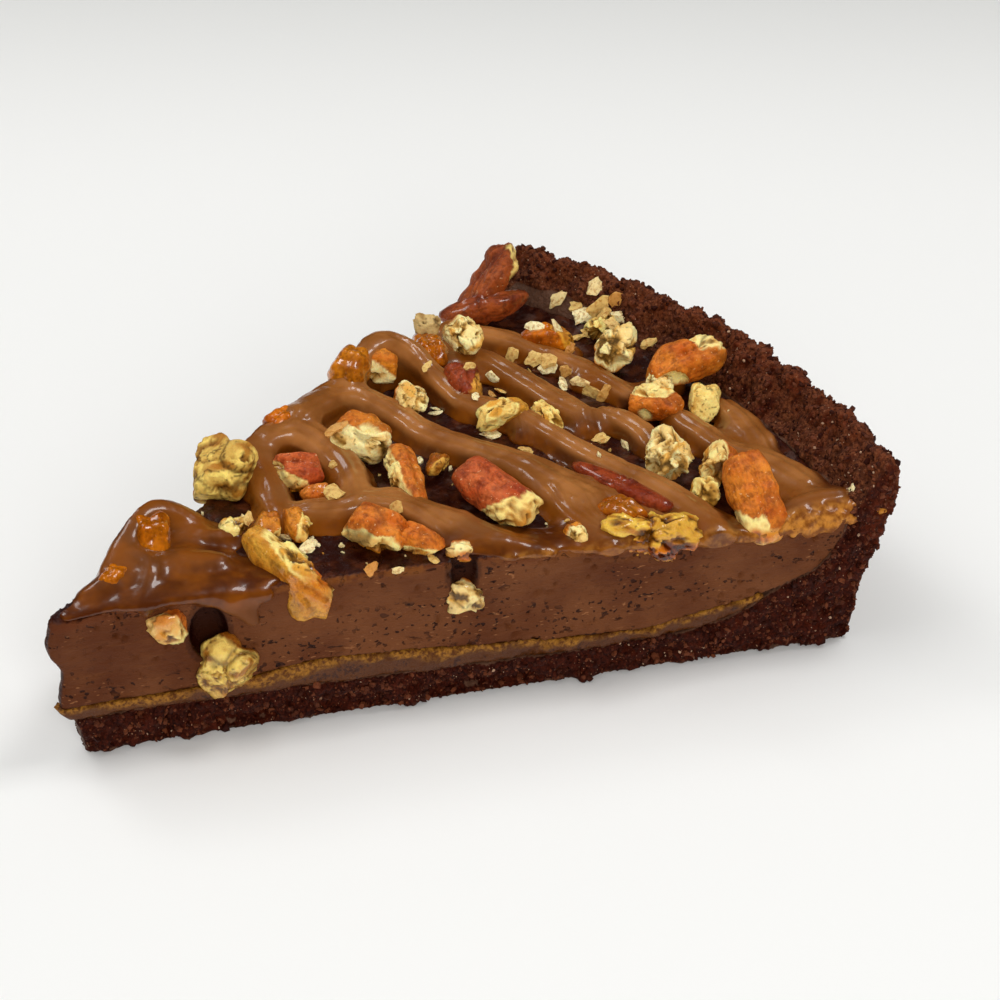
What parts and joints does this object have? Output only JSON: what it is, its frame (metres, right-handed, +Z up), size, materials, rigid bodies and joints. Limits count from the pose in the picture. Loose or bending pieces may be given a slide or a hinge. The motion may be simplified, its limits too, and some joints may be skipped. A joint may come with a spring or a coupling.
{
  "type": "chocolate pecan tart slice",
  "caption": "Wedge of chocolate tart: dark crumb crust, golden caramel layer and thick ganache, with broken pecans and caramel drizzle on top.",
  "frame": {"origin": "on the surface the slice stands on, under the middle of its bounding box", "axes": "+X from the point of the slice to the middle of the crust, +Y to the far cut, +Z up"},
  "size_m": [0.1278, 0.0944, 0.0341],
  "materials": {
    "crust": "dark cocoa biscuit crumb, coarse and dry",
    "caramel": "milky caramel, smooth and glossy",
    "ganache": "set chocolate ganache, satin, matt where cut",
    "pecan": "broken pecan, wrinkled brown skin and cream flesh"
  },
  "bodies": {
    "root": {"crust": "crust", "caramel_layer": "caramel", "ganache": "ganache", "pecan_tip_coated": "pecan", "pecan_tip_small": "pecan", "pecan_tip_front": "pecan", "pecan_cut_pocket": "pecan", "pecan_far_left": "pecan", "pecan_red_small": "pecan", "pecan_orange_small": "pecan", "pecan_cream_tall": "pecan", "pecan_long_slanted": "pecan", "pecan_olive_small": "pecan", "pecan_lobe_left": "pecan", "pecan_lobe_right": "pecan", "pecan_edge_cream": "pecan", "pecan_red_long": "pecan", "pecan_tan_first": "pecan", "pecan_tan_second": "pecan", "pecan_tan_third": "pecan", "pecan_near_long": "pecan", "pecan_arch_left": "pecan", "pecan_arch_right": "pecan", "pecan_far_coated": "pecan", "pecan_mid_cream": "pecan", "pecan_red_oval": "pecan", "pecan_rear_cream": "pecan", "pecan_rear_brown": "pecan", "pecan_rear_grey": "pecan", "pecan_corner_tall": "pecan", "pecan_corner_low": "pecan", "pecan_rear_orange": "pecan", "pecan_rear_flake": "pecan", "pecan_cream_popped": "pecan", "pecan_rim_orange": "pecan", "pecan_rim_cream": "pecan", "pecan_rim_round": "pecan", "pecan_orange_flat": "pecan", "pecan_yellow_end": "pecan", "pecan_yellow_flake": "pecan", "pecan_curl": "pecan", "pecan_orange_lobe": "pecan", "pecan_orange_big": "pecan", "pecan_olive_cream": "pecan", "pecan_red_strip": "pecan", "pecan_near_brown": "pecan", "pecan_near_yellow": "pecan", "pecan_near_cream": "pecan", "pecan_notch_piece": "pecan"}
  },
  "joints": []
}
